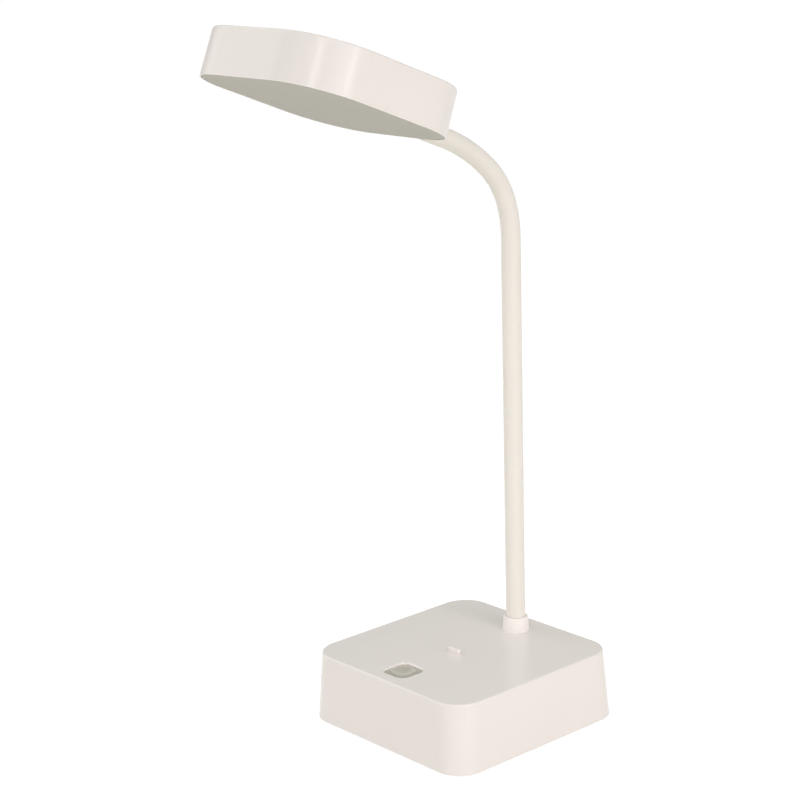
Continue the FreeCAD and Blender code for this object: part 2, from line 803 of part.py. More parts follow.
def diffuser():
    inset = head_rim + slip
    share = (diffuser_sink + diffuser_thickness) / head_height
    side = head_side - 2 * inset - 2 * head_lean * share
    return slab(side, side, head_corner - inset, diffuser_sink, diffuser_sink + diffuser_thickness)


def light_board():
    high = light_height + light_thickness
    board = slab(light_side, light_side, light_corner, light_height, high)
    return less(board, [post(small_shank_radius + slip, light_height - 1, high + 1, x, y)
                        for x, y in four(light_screw_place, light_screw_place)])


def light_chips():
    first = -chip_pitch * (chip_rows - 1) / 2
    places = [first + chip_pitch * k for k in range(chip_rows)]
    return Part.makeCompound([box(chip_size, chip_size, light_height - chip_height, light_height, x, y)
                              for x in places for y in places])


def light_screws():
    return Part.makeCompound(
        [screw(x, y, light_height, 1, small_screw_head, small_shank_radius, small_screw_length)
         for x, y in four(light_screw_place, light_screw_place)])


def neck_fitting():
    """The turned end piece of the gooseneck, along Y, its flange in the mouth of the wall."""
    groove = saddle_end + 2 * touch
    bottom = fitting_radius - fitting_groove
    start = fitting_sink
    profile = [(coil_radius + touch, start), (sleeve_radius, start), (sleeve_radius, start + fitting_flange),
               (fitting_radius, start + fitting_flange), (fitting_radius, groove), (bottom, groove),
               (bottom, groove + clip_thickness + touch), (fitting_radius, groove + clip_thickness + touch),
               (fitting_radius, fitting_length - fitting_bevel),
               (fitting_radius - fitting_bevel, fitting_length), (coil_bore, fitting_length),
               (coil_bore, fitting_socket), (coil_radius + touch, fitting_socket)]
    piece = turned(profile)
    piece.Placement = Placement(Vector(0, head_side / 2, neck_entry), Rotation(Vector(1, 0, 0), 90))
    return piece


def neck_clip():
    """A steel fork pushed up around the fitting's groove."""
    groove = fitting_radius - fitting_groove + touch
    inner = head_side / 2 - saddle_end - 2 * touch
    plate = Part.makeBox(2 * saddle_half_width, clip_thickness, clip_top - clip_foot,
                         Vector(-saddle_half_width, inner - clip_thickness, clip_foot))
    eye = Part.makeCylinder(groove, clip_thickness * 3, Vector(0, inner - 2 * clip_thickness, neck_entry),
                            Vector(0, 1, 0))
    mouth = box(2 * groove, clip_thickness * 3, neck_entry, clip_top + 1, 0, inner - clip_thickness / 2)
    edges = [e for e in plate.Edges if abs(e.Vertexes[0].Y - e.Vertexes[-1].Y) > clip_thickness / 2]
    return less(plate.makeFillet(clip_corner, edges), eye, mouth)


def head_lead():
    inner = head_side / 2 - fitting_length
    turn = inner - lead_turn - lead_sag
    return lead([(0, inner + lead_joint, neck_entry), (0, turn, neck_entry), (0, turn, light_height)],
                lead_radius)


def on_head(piece):
    """Carry a level head piece to the end of the neck and tilt it there."""
    point, heading = station(neck_length)
    turn = Rotation(Vector(1, 0, 0), math.degrees(heading) - 90)
    seat = turn.multVec(Vector(0, head_side / 2, neck_entry))
    placed = piece.copy()
    placed.Placement = Placement(point - seat, turn).multiply(piece.Placement)
    return placed


# ---- gooseneck ----

def sleeve_cuts():
    """Where the sleeve's stretches meet: half-way between joints, and at both ends."""
    middles = [(a + b) / 2 for a, b in zip(joints, joints[1:])]
    return [ferrule_rise - collar_height] + middles + [neck_length + fitting_sink]


def gooseneck():
    """Every stretch of coil, lead and sleeve, named from the base up."""
    pieces = {}
    socket = -collar_height - ferrule_socket
    ends = [socket] + joints + [neck_length + fitting_socket]
    for k in range(joint_count + 1):
        low, high = ends[k], ends[k + 1]
        pieces[f"neck_coil_{k}"] = linked(low, high, coil_radius, coil_bore, ball=k > 0, cup=k < joint_count)
        start = low if k else -collar_height - ferrule_drop + lead_joint
        stop = high if k < joint_count else neck_length + fitting_length - lead_joint
        pieces[f"neck_lead_{k}"] = linked(start, stop, lead_radius, ball=k > 0, cup=k < joint_count)
    cuts = sleeve_cuts()
    for k, (low, high) in enumerate(zip(cuts, cuts[1:]), start=1):
        pieces[f"neck_sleeve_{k}"] = swept(low, high, sleeve_radius, sleeve_bore)
    return pieces


def build():
    nodes = {
        "base_housing": base_housing(),
        "base_plate": base_plate(),
        "base_pad": base_pad(),
        "ballast_plate": ballast_plate(),
        "battery_cradle": battery_cradle(),
        "battery_cell": battery_cell(),
        "control_board": control_board(),
        "board_screws": board_screws(),
        "usb_socket": usb_socket(),
        "usb_tongue": usb_tongue(),
        "lead_connectors": lead_connectors(),
        "charger_chip": charger_chip(),
        "power_inductor": power_inductor(),
        "power_button": power_button(),
        "switch_plunger": switch_plunger(),
        "switch_body": switch_body(),
        "switch_board": switch_board(),
        "neck_ferrule": neck_ferrule(),
        "neck_collar": neck_collar(),
        "ferrule_washer": ferrule_washer(),
        "ferrule_nut": ferrule_nut(),
        "battery_leads": battery_leads(),
        "switch_lead": switch_lead(),
        "neck_lead_foot": neck_lead_foot(),
    }
    nodes["case_screws"] = Part.makeCompound(
        [screw(x, y, case_seat(), 1, case_screw_head, shank_radius, case_screw_length)
         for x, y in four(case_screw_place, case_screw_place)])
    nodes["ballast_screws"] = Part.makeCompound(
        [screw(x, y, ballast_top + (cradle_floor if y == cell_y else 0), -1, ballast_screw_head,
               shank_radius, ballast_screw_length) for x, y in ballast_places()])
    nodes.update(gooseneck())
    for make in (head_housing, diffuser, light_board, light_chips, light_screws, neck_fitting, neck_clip,
                 head_lead):
        nodes[make.__name__] = on_head(make())
    return nodes


os.makedirs("parts", exist_ok=True)
for name, shape in build().items():
    shape.exportStep(f"parts/{name}.step")
    state = "valid" if shape.isValid() else "BROKEN"
    print(name, len(shape.Solids), "solid", round(shape.Volume, 1), "mm3", state)
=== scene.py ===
import json
import math
import bmesh
import bpy
from mathutils import Matrix, Vector


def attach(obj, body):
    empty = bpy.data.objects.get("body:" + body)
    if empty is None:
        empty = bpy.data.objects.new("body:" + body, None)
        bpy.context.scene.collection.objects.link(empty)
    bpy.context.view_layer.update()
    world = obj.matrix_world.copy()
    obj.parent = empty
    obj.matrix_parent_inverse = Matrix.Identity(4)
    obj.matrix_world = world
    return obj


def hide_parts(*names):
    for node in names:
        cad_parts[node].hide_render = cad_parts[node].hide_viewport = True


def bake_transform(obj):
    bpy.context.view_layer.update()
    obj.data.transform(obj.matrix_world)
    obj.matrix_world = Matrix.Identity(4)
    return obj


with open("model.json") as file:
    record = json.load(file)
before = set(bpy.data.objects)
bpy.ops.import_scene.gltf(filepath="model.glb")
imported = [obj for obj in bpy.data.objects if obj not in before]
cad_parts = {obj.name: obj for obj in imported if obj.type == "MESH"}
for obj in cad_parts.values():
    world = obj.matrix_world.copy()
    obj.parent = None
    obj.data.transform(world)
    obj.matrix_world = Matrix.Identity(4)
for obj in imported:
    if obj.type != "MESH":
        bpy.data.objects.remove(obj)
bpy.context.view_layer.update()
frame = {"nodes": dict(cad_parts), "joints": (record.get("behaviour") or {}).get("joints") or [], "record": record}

mm = 0.001
white = (1.0, 1.0, 1.0, 1.0)
nodes = frame["nodes"]
joints = frame["joints"]
bodyOf = {name: body for body, names in frame["record"]["behaviour"]["bodies"].items() for name in names}
slotOf = {entry["node"]: entry["material_slot"] for entry in frame["record"]["subparts"]}


def linearColour(hexText):
    parts = [int(hexText[i:i + 2], 16) / 255 for i in (1, 3, 5)]
    return tuple(c / 12.92 if c <= 0.04045 else ((c + 0.055) / 1.055) ** 2.4 for c in parts) + (1.0,)


def addNode(tree, kind, settings=None, links=None):    # settings name a property, or else an input
    node = tree.nodes.new(kind)
    for key, value in (settings or {}).items():
        if isinstance(key, str) and hasattr(node, key):
            setattr(node, key, value)
        else:
            node.inputs[key].default_value = value
    for socket, source in (links or {}).items():
        tree.links.new(source, node.inputs[socket])
    return node


def emptyMaterial(name):
    material = bpy.data.materials.new(name)
    material.use_nodes = True
    material.node_tree.nodes.clear()
    return material, material.node_tree


def wear(piece, material):
    piece.data.materials.clear()
    piece.data.materials.append(material)


def newPiece(name, data):
    piece = bpy.data.objects.new(name, data)
    bpy.context.scene.collection.objects.link(piece)
    return piece


def frozenMesh(piece, name):    # what the live modifiers make, as a plain mesh
    bpy.context.view_layer.update()
    graph = bpy.context.evaluated_depsgraph_get()
    made = piece.evaluated_get(graph)
    mesh = bpy.data.meshes.new_from_object(made, preserve_all_data_layers=True, depsgraph=graph)
    mesh.name = name
    piece.modifiers.clear()
    return mesh


cameraSettings = {
    "place": (0.76008, -0.70783, 0.45607),
    "azimuth": 48.639,        # degrees, from +Y towards -X
    "down": 15.010,
    "roll": -1.8665,
    "lens": 92.83,
    "sensor": 36.0,           # its width in mm
    "near": 0.05,
    "far": 60.0,
}


def makeCamera(s):
    azimuth, down, roll = (math.radians(s[key]) for key in ("azimuth", "down", "roll"))
    level = math.cos(down)
    look = Vector((-math.sin(azimuth) * level, math.cos(azimuth) * level, -math.sin(down)))
    right = look.cross(Vector((0, 0, 1))).normalized()
    up = right.cross(look)
    turnedRight = right * math.cos(roll) + up * math.sin(roll)
    turnedUp = up * math.cos(roll) - right * math.sin(roll)
    data = bpy.data.cameras.new("studioCamera")
    data.lens, data.sensor_width = s["lens"], s["sensor"]
    data.clip_start, data.clip_end = s["near"], s["far"]
    camera = newPiece("studioCamera", data)
    turn = Matrix((turnedRight, turnedUp, -look)).transposed().to_4x4()
    camera.matrix_world = Matrix.Translation(s["place"]) @ turn
    bpy.context.scene.camera = camera


makeCamera(cameraSettings)
print("camera placed")

studioSettings = {
    "floorSide": 40.0,
    "floorColour": "#D9D7D3",
    "floorShown": 0.25,       # the part of the floor seen by the camera that takes the lamp's shadow
    "floorGlow": 0.87,        # and the part that keeps it white
    "skyBands": [             # sine of the height, strength, colour
        (0.0, 0.49, "#FFF9FF"),
        (0.17, 0.42, "#FFF8FE"),
        (0.34, 0.25, "#FEFFFD"),
        (0.6, 0.98, "#F8FFFA"),
        (1.0, 0.28, "#FCFFFC"),
    ],
    # Place, width and height in metres, power in watts, colour. The two strips give the narrow bright bands
    # on the head's round edge, and the two small cards light the foot of the base.
    "lamps": {
        "rightSoftbox": ((2.0, -0.2, 0.6), (1.3, 1.3), 6.8, "#FFF3FE"),
        "rightStrip": ((1.96, 0.12, 0.66), (0.15, 1.0), 2.7, "#FFFAFE"),
        "frontStrip": ((1.02, -1.43, 1.29), (0.2, 0.8), 2.8, "#FFF8FE"),
        "leftSoftbox": ((-0.5, -2.0, 0.6), (1.3, 1.3), 4.5, "#FEF9FF"),
        "farLeftSoftbox": ((-1.8, -0.9, 0.6), (1.3, 1.3), 5.6, "#FFF8FC"),
        "highLeftSoftbox": ((-1.3, -0.6, 1.5), (0.8, 0.8), 2.0, "#FFFFFF"),
        "topSoftbox": ((0.0, 0.0, 2.3), (1.6, 1.6), 1.8, "#FEFFFE"),
        "topSmallBox": ((0.9, -0.2, 2.0), (0.7, 0.7), 5.4, "#FEFDFF"),
        "rightCard": ((0.55, -0.05, 0.06), (0.2, 0.2), 0.6, "#FEFFF7"),
        "leftCard": ((-0.05, -0.6, 0.06), (0.2, 0.2), 0.43, "#FFFFFE"),
    },
    "aim": (0.0, 0.0, 0.15),
}


def rayKinds(tree, kinds):    # 1 for any of these kinds of ray
    path = addNode(tree, "ShaderNodeLightPath")
    found = path.outputs[kinds[0]]
    for kind in kinds[1:]:
        either = addNode(tree, "ShaderNodeMath", {"operation": "MAXIMUM"}, {0: found, 1: path.outputs[kind]})
        found = either.outputs[0]
    return found


def makeFloor(s):
    half = s["floorSide"] / 2
    corners = [(-half, -half, 0), (half, -half, 0), (half, half, 0), (-half, half, 0)]
    mesh = bpy.data.meshes.new("studioFloor")
    mesh.from_pydata(corners, [], [(0, 1, 2, 3)])
    floor = newPiece("studioFloor", mesh)
    material, tree = emptyMaterial("paintedSweep")    # matt white studio paint: plain, with soft shadows
    seen = rayKinds(tree, ["Is Camera Ray", "Is Glossy Ray", "Is Transmission Ray"])
    paint = addNode(tree, "ShaderNodeBsdfDiffuse", {"Color": linearColour(s["floorColour"])})
    thin = addNode(tree, "ShaderNodeBsdfDiffuse", {"Color": (s["floorShown"],) * 3 + (1.0,)})
    glow = addNode(tree, "ShaderNodeEmission", {"Color": white, "Strength": s["floorGlow"]})
    shown = addNode(tree, "ShaderNodeAddShader", {}, {0: thin.outputs[0], 1: glow.outputs[0]})
    mix = addNode(tree, "ShaderNodeMixShader", {}, {0: seen, 1: paint.outputs[0], 2: shown.outputs[0]})
    addNode(tree, "ShaderNodeOutputMaterial", {}, {"Surface": mix.outputs[0]})
    wear(floor, material)


def makeWorld(s):    # plain white to look at, and bands of soft light that the pieces are lit by and mirror
    world = bpy.data.worlds.new("studioWorld")
    bpy.context.scene.world = world
    world.use_nodes = True
    tree = world.node_tree
    tree.nodes.clear()
    coords = addNode(tree, "ShaderNodeTexCoord")
    height = addNode(tree, "ShaderNodeSeparateXYZ", {}, {0: coords.outputs["Generated"]})
    ramp = addNode(tree, "ShaderNodeValToRGB", {}, {"Fac": height.outputs["Z"]})
    stops = ramp.color_ramp.elements
    while len(stops) < len(s["skyBands"]):
        stops.new(0.5)
    for stop, (place, strength, colour) in zip(stops, s["skyBands"]):
        stop.position = place
        stop.color = tuple(c * strength for c in linearColour(colour)[:3]) + (1.0,)
    sky = addNode(tree, "ShaderNodeBackground", {"Strength": 1.0}, {"Color": ramp.outputs["Color"]})
    plain = addNode(tree, "ShaderNodeBackground", {"Color": white, "Strength": 1.0})
    seen = rayKinds(tree, ["Is Camera Ray", "Is Transmission Ray"])
    mix = addNode(tree, "ShaderNodeMixShader", {}, {0: seen, 1: sky.outputs[0], 2: plain.outputs[0]})
    addNode(tree, "ShaderNodeOutputWorld", {}, {"Surface": mix.outputs[0]})


def makeLamps(s):
    for name, (place, (width, height), power, colour) in s["lamps"].items():
        data = bpy.data.lights.new(name, "AREA")
        data.shape, data.size, data.size_y = "RECTANGLE", width, height
        data.energy, data.color = power, linearColour(colour)[:3]
        lamp = newPiece(name, data)
        turn = (Vector(s["aim"]) - Vector(place)).to_track_quat("-Z", "Y").to_matrix().to_4x4()
        lamp.matrix_world = Matrix.Translation(place) @ turn


makeFloor(studioSettings)
makeWorld(studioSettings)
makeLamps(studioSettings)
bpy.context.scene.view_settings.view_transform = "Standard"
print("studio lit")

# In the finishes' dictionaries sizes and depths are in millimetres, and bump is a strength from 0 to 1. Where
# one holds several finishes, the values that stand before them are common to all that don't give their own.

# Moulded plastic: the tool's fine spark-eroded grain blurs what it mirrors into a soft sheen, and the cooling
# of the melt leaves broad, very faint clouds. The real grain is about 0.05 mm; it is drawn at grainSize so
# that it shows. The key's coat holds a fine metal flake, which makes the light in its dish run from dark to
# bright.
mouldedSettings = {
    "cloudSize": 35.0, "bump": 0.8, "swing": 0.02, "ior": 1.53, "flake": 0.0,
    "finishes": {
        "satinMouldedAbs": {
            "colour": "#ECE5DF", "cloud": "#EAE3DD",
            "roughness": 0.25, "grainSize": 0.7, "grainDepth": 0.003},
        "collarMouldedAbs": {
            "colour": "#F5EEEA", "cloud": "#F2EBE6",
            "roughness": 0.32, "grainSize": 0.6, "grainDepth": 0.003},
        "keyMouldedAbs": {
            "colour": "#CFC8BC", "cloud": "#CBC4B8",
            "roughness": 0.2, "grainSize": 0.6, "grainDepth": 0.003, "flake": 0.5},
        "plateMouldedAbs": {
            "colour": "#E4DED6", "cloud": "#DCD6CE",
            "roughness": 0.52, "grainSize": 0.9, "grainDepth": 0.012},
        "blackMouldedNylon": {
            "colour": "#1B1B1C", "cloud": "#242425",
            "roughness": 0.52, "grainSize": 0.5, "grainDepth": 0.008},
        "greyMouldedNylon": {
            "colour": "#BDBAB0", "cloud": "#C6C3B9",
            "roughness": 0.50, "grainSize": 0.5, "grainDepth": 0.006},
        "phosphorResin": {
            "colour": "#EBCF6E", "cloud": "#E3C45E",
            "roughness": 0.36, "grainSize": 0.3, "grainDepth": 0.004, "ior": 1.50},
    },
}


def mouldedPlastic(name, s):
    material, tree = emptyMaterial(name)
    place = addNode(tree, "ShaderNodeTexCoord").outputs["Object"]
    grain = addNode(tree, "ShaderNodeTexNoise",
                    {"Scale": 1 / (s["grainSize"] * mm), "Detail": 3.0, "Roughness": 0.6}, {"Vector": place})
    clouds = addNode(tree, "ShaderNodeTexNoise",
                     {"Scale": 1 / (s["cloudSize"] * mm), "Detail": 2.0, "Roughness": 0.4}, {"Vector": place})
    bump = addNode(tree, "ShaderNodeBump",
                   {"Strength": s["bump"], "Distance": s["grainDepth"] * mm},
                   {"Height": grain.outputs["Fac"]})
    shine = addNode(tree, "ShaderNodeMapRange",
                    {"To Min": s["roughness"] - s["swing"], "To Max": s["roughness"] + s["swing"]},
                    {"Value": clouds.outputs["Fac"]})
    tint = addNode(tree, "ShaderNodeMix",
                   {"data_type": "RGBA", 6: linearColour(s["colour"]), 7: linearColour(s["cloud"])},
                   {0: clouds.outputs["Fac"]})
    shader = addNode(tree, "ShaderNodeBsdfPrincipled", {"IOR": s["ior"], "Metallic": s["flake"]}, {
        "Base Color": tint.outputs[2], "Roughness": shine.outputs[0], "Normal": bump.outputs[0]})
    addNode(tree, "ShaderNodeOutputMaterial", {}, {"Surface": shader.outputs[0]})
    return material


# Extruded silicone: matt and a little waxy, light goes slightly into it, with fine die lines along its length
# and specks of dust that its tacky skin holds. Its pattern follows the sleeve, so it bends with it. Real die
# lines are about 0.1 mm apart, and the specks are as small; both are drawn coarser so that they show.
siliconeSettings = {
    "colour": "#EBE5DC", "dust": "#DBD4C9",
    "roughness": 0.46, "smoother": 0.04, "rougher": 0.05,
    "lineSpacing": 0.9, "lineDepth": 0.004, "lineStretch": (1.0, 1.0, 0.05), "bump": 0.7,
    "dustSize": 1.2, "dustFrom": 0.62, "dustTo": 0.78, "dustCover": 0.5,
    "glowThrough": 0.15, "glowReach": (1.0, 0.8, 0.6), "glowDepth": 1.0, "ior": 1.41,
}


def extrudedSilicone(name, s):
    material, tree = emptyMaterial(name)
    place = addNode(tree, "ShaderNodeAttribute", {"attribute_name": "sleevePlace"}).outputs["Vector"]
    drawn = addNode(tree, "ShaderNodeMapping", {"Scale": s["lineStretch"]}, {"Vector": place})
    lines = addNode(tree, "ShaderNodeTexNoise",
                    {"Scale": 1 / (s["lineSpacing"] * mm), "Detail": 2.0}, {"Vector": drawn.outputs[0]})
    specks = addNode(tree, "ShaderNodeTexNoise",
                     {"Scale": 1 / (s["dustSize"] * mm), "Detail": 4.0, "Roughness": 0.7}, {"Vector": place})
    dusty = addNode(tree, "ShaderNodeMapRange",
                    {"From Min": s["dustFrom"], "From Max": s["dustTo"], "To Max": s["dustCover"]},
                    {"Value": specks.outputs["Fac"]})
    bump = addNode(tree, "ShaderNodeBump",
                   {"Strength": s["bump"], "Distance": s["lineDepth"] * mm}, {"Height": lines.outputs["Fac"]})
    shine = addNode(tree, "ShaderNodeMapRange",
                    {"To Min": s["roughness"] - s["smoother"], "To Max": s["roughness"] + s["rougher"]},
                    {"Value": specks.outputs["Fac"]})
    tint = addNode(tree, "ShaderNodeMix",
                   {"data_type": "RGBA", 6: linearColour(s["colour"]), 7: linearColour(s["dust"])},
                   {0: dusty.outputs[0]})
    shader = addNode(tree, "ShaderNodeBsdfPrincipled", {
        "IOR": s["ior"], "Subsurface Weight": s["glowThrough"], "Subsurface Radius": s["glowReach"],
        "Subsurface Scale": s["glowDepth"] * mm}, {
        "Base Color": tint.outputs[2], "Roughness": shine.outputs[0], "Normal": bump.outputs[0]})
    addNode(tree, "ShaderNodeOutputMaterial", {}, {"Surface": shader.outputs[0]})
    return material


# Cast opal acrylic: milky, with a fine matt face that hides the light chips behind it and a faint glow at
# depth. The real face's grain is about 0.05 mm; it is drawn at grainSize so that it shows.
opalSettings = {
    # The colour and its deep tone are painted shade: a darker grey than the white opal, for the little light that
    # reaches the head's underside.
    "colour": "#BBB7AD", "deep": "#B7B3A9", "milkSize": 28.0,
    "roughness": 0.62, "specular": 0.25, "grainSize": 0.5, "grainDepth": 0.004, "bump": 0.6,
    "glowThrough": 0.2, "glowReach": (1.0, 1.0, 0.9), "glowDepth": 2.0, "ior": 1.49,
}


def opalAcrylic(name, s):
    material, tree = emptyMaterial(name)
    place = addNode(tree, "ShaderNodeTexCoord").outputs["Object"]
    grain = addNode(tree, "ShaderNodeTexNoise",
                    {"Scale": 1 / (s["grainSize"] * mm), "Detail": 2.0}, {"Vector": place})
    milk = addNode(tree, "ShaderNodeTexNoise",
                   {"Scale": 1 / (s["milkSize"] * mm), "Detail": 1.0}, {"Vector": place})
    bump = addNode(tree, "ShaderNodeBump",
                   {"Strength": s["bump"], "Distance": s["grainDepth"] * mm},
                   {"Height": grain.outputs["Fac"]})
    # Painted shade: the tint is a darker grey than the white opal, for the dim light under the head.
    tint = addNode(tree, "ShaderNodeMix",
                   {"data_type": "RGBA", 6: linearColour(s["colour"]), 7: linearColour(s["deep"])},
                   {0: milk.outputs["Fac"]})
    shader = addNode(tree, "ShaderNodeBsdfPrincipled", {
        "IOR": s["ior"], "Roughness": s["roughness"], "Specular IOR Level": s["specular"],
        "Subsurface Weight": s["glowThrough"], "Subsurface Radius": s["glowReach"],
        "Subsurface Scale": s["glowDepth"] * mm}, {
        "Base Color": tint.outputs[2], "Normal": bump.outputs[0]})
    addNode(tree, "ShaderNodeOutputMaterial", {}, {"Surface": shader.outputs[0]})
    return material


# Metal: turned brass shows fine rings round its axis, drawn and rolled steel a directional grain, and plating
# a slight bloom. The grain is about 0.02 mm on the real pieces and drawn coarser, so that it breaks up the
# highlights.
metalSettings = {
    "bloomSize": 4.0, "grainDepth": 0.002, "bump": 0.6, "smoother": 0.06, "rougher": 0.08,
    "finishes": {
        "zincPlatedSteel": {
            "colour": "#C6C8CA", "bloom": "#B4B8BC",
            "roughness": 0.34, "grainSize": 0.30, "stretch": (1.0, 1.0, 1.0)},
        "rolledBallastSteel": {
            "colour": "#9FA1A4", "bloom": "#888A8E",
            "roughness": 0.42, "grainSize": 0.40, "stretch": (0.05, 1.0, 1.0)},
        "hardDrawnSpringWire": {
            "colour": "#B9BABC", "bloom": "#A3A5A8",
            "roughness": 0.34, "grainSize": 0.25, "stretch": (1.0, 1.0, 0.2)},
        "nickelPlatedBrass": {
            "colour": "#D2CDBF", "bloom": "#C2BBA8",
            "roughness": 0.24, "grainSize": 0.30, "stretch": (0.1, 0.1, 1.0)},
        "deepDrawnStainless": {
            "colour": "#CFD0D1", "bloom": "#BDBFC1",
            "roughness": 0.28, "grainSize": 0.20, "stretch": (1.0, 0.1, 1.0)},
    },
}


def workedMetal(name, s):
    material, tree = emptyMaterial(name)
    place = addNode(tree, "ShaderNodeTexCoord").outputs["Object"]
    drawn = addNode(tree, "ShaderNodeMapping", {"Scale": s["stretch"]}, {"Vector": place})
    grain = addNode(tree, "ShaderNodeTexNoise",
                    {"Scale": 1 / (s["grainSize"] * mm), "Detail": 3.0}, {"Vector": drawn.outputs[0]})
    bloom = addNode(tree, "ShaderNodeTexNoise",
                    {"Scale": 1 / (s["bloomSize"] * mm), "Detail": 3.0}, {"Vector": place})
    bump = addNode(tree, "ShaderNodeBump",
                   {"Strength": s["bump"], "Distance": s["grainDepth"] * mm},
                   {"Height": grain.outputs["Fac"]})
    shine = addNode(tree, "ShaderNodeMapRange",
                    {"To Min": s["roughness"] - s["smoother"], "To Max": s["roughness"] + s["rougher"]},
                    {"Value": grain.outputs["Fac"]})
    tint = addNode(tree, "ShaderNodeMix",
                   {"data_type": "RGBA", 6: linearColour(s["colour"]), 7: linearColour(s["bloom"])},
                   {0: bloom.outputs["Fac"]})
    shader = addNode(tree, "ShaderNodeBsdfPrincipled", {"Metallic": 1.0}, {
        "Base Color": tint.outputs[2], "Roughness": shine.outputs[0], "Normal": bump.outputs[0]})
    addNode(tree, "ShaderNodeOutputMaterial", {}, {"Surface": shader.outputs[0]})
    return material


# Solder mask over glass laminate: a glossy skin in which the weave below just shows as a crossed ripple. Real
# threads are about 0.5 mm apart; they are drawn about 6 mm apart so that they show.
boardSettings = {
    "waveScale": 0.05,        # for each mm
    "sway": 0.6, "weaveDepth": 0.006, "bump": 0.5, "ior": 1.52,
    "finishes": {
        "greenMaskedLaminate": {"colour": "#1E5C3A", "weave": "#256B45", "roughness": 0.30},
        "whiteMaskedAluminium": {"colour": "#E6E6E0", "weave": "#DEDED8", "roughness": 0.36},
    },
}


def maskedBoard(name, s):
    material, tree = emptyMaterial(name)
    place = addNode(tree, "ShaderNodeTexCoord").outputs["Object"]
    across, along = (
        addNode(tree, "ShaderNodeTexWave",
                {"bands_direction": way, "Scale": s["waveScale"] / mm, "Distortion": s["sway"]},
                {"Vector": place}).outputs["Fac"]
        for way in "XY")
    weave = addNode(tree, "ShaderNodeMath", {"operation": "MULTIPLY"}, {0: across, 1: along})
    bump = addNode(tree, "ShaderNodeBump",
                   {"Strength": s["bump"], "Distance": s["weaveDepth"] * mm}, {"Height": weave.outputs[0]})
    tint = addNode(tree, "ShaderNodeMix",
                   {"data_type": "RGBA", 6: linearColour(s["colour"]), 7: linearColour(s["weave"])},
                   {0: weave.outputs[0]})
    shader = addNode(tree, "ShaderNodeBsdfPrincipled", {"Roughness": s["roughness"], "IOR": s["ior"]}, {
        "Base Color": tint.outputs[2], "Normal": bump.outputs[0]})
    addNode(tree, "ShaderNodeOutputMaterial", {}, {"Surface": shader.outputs[0]})
    return material


# Closed-cell rubber pad: dull grey, its sliced face open in small round cells about 0.6 mm across, their pits
# painted darker as painted shade.
padSettings = {
    # The cell colour is painted shade: the darker colour of the pits.
    "colour": "#94948F", "cell": "#6F6F6B", "roughness": 0.85, "cellSize": 0.9, "cellDepth": 0.10,
    "cellFloor": 0.15, "cellRim": 0.55, "bump": 0.8, "ior": 1.50,
}


def slicedRubber(name, s):
    material, tree = emptyMaterial(name)
    place = addNode(tree, "ShaderNodeTexCoord").outputs["Object"]
    cells = addNode(tree, "ShaderNodeTexVoronoi", {"Scale": 1 / (s["cellSize"] * mm)}, {"Vector": place})
    openCell = addNode(tree, "ShaderNodeMapRange",
                       {"From Min": s["cellFloor"], "From Max": s["cellRim"]},
                       {"Value": cells.outputs["Distance"]})
    bump = addNode(tree, "ShaderNodeBump",
                   {"Strength": s["bump"], "Distance": s["cellDepth"] * mm}, {"Height": openCell.outputs[0]})
    # Painted shade: the pits take the darker cell colour where the bump sinks them.
    tint = addNode(tree, "ShaderNodeMix",
                   {"data_type": "RGBA", 6: linearColour(s["cell"]), 7: linearColour(s["colour"])},
                   {0: openCell.outputs[0]})
    shader = addNode(tree, "ShaderNodeBsdfPrincipled", {"Roughness": s["roughness"], "IOR": s["ior"]}, {
        "Base Color": tint.outputs[2], "Normal": bump.outputs[0]})
    addNode(tree, "ShaderNodeOutputMaterial", {}, {"Surface": shader.outputs[0]})
    return material


# Shrunk or extruded PVC: smooth and slightly glossy, with a long shallow ripple where it drew tight on what
# it covers.
jacketSettings = {
    "rippleDepth": 0.02, "bump": 0.6, "ior": 1.53,
    "finishes": {
        "shrunkCellWrap": {"colour": "#3F7EA8", "shade": "#37719A", "roughness": 0.28, "ripple": 2.5},
        "greyPvcJacket": {"colour": "#CBC9C2", "shade": "#C0BEB6", "roughness": 0.46, "ripple": 1.0},
        "redPvcJacket": {"colour": "#A32420", "shade": "#93201C", "roughness": 0.46, "ripple": 1.0},
    },
}


def tightPvc(name, s):
    material, tree = emptyMaterial(name)
    place = addNode(tree, "ShaderNodeTexCoord").outputs["Object"]
    ripple = addNode(tree, "ShaderNodeTexNoise",
                     {"Scale": 1 / (s["ripple"] * mm), "Detail": 1.0}, {"Vector": place})
    bump = addNode(tree, "ShaderNodeBump",
                   {"Strength": s["bump"], "Distance": s["rippleDepth"] * mm},
                   {"Height": ripple.outputs["Fac"]})
    tint = addNode(tree, "ShaderNodeMix",
                   {"data_type": "RGBA", 6: linearColour(s["colour"]), 7: linearColour(s["shade"])},
                   {0: ripple.outputs["Fac"]})
    shader = addNode(tree, "ShaderNodeBsdfPrincipled", {"Roughness": s["roughness"], "IOR": s["ior"]}, {
        "Base Color": tint.outputs[2], "Normal": bump.outputs[0]})
    addNode(tree, "ShaderNodeOutputMaterial", {}, {"Surface": shader.outputs[0]})
    return material


materials = {}
for make, settings in (
        (mouldedPlastic, mouldedSettings),
        (workedMetal, metalSettings),
        (maskedBoard, boardSettings),
        (tightPvc, jacketSettings)):
    for name, own in settings["finishes"].items():
        materials[name] = make(name, {**settings, **own})
materials["extrudedSilicone"] = extrudedSilicone("extrudedSilicone", siliconeSettings)
materials["castOpalAcrylic"] = opalAcrylic("castOpalAcrylic", opalSettings)
materials["slicedRubber"] = slicedRubber("slicedRubber", padSettings)

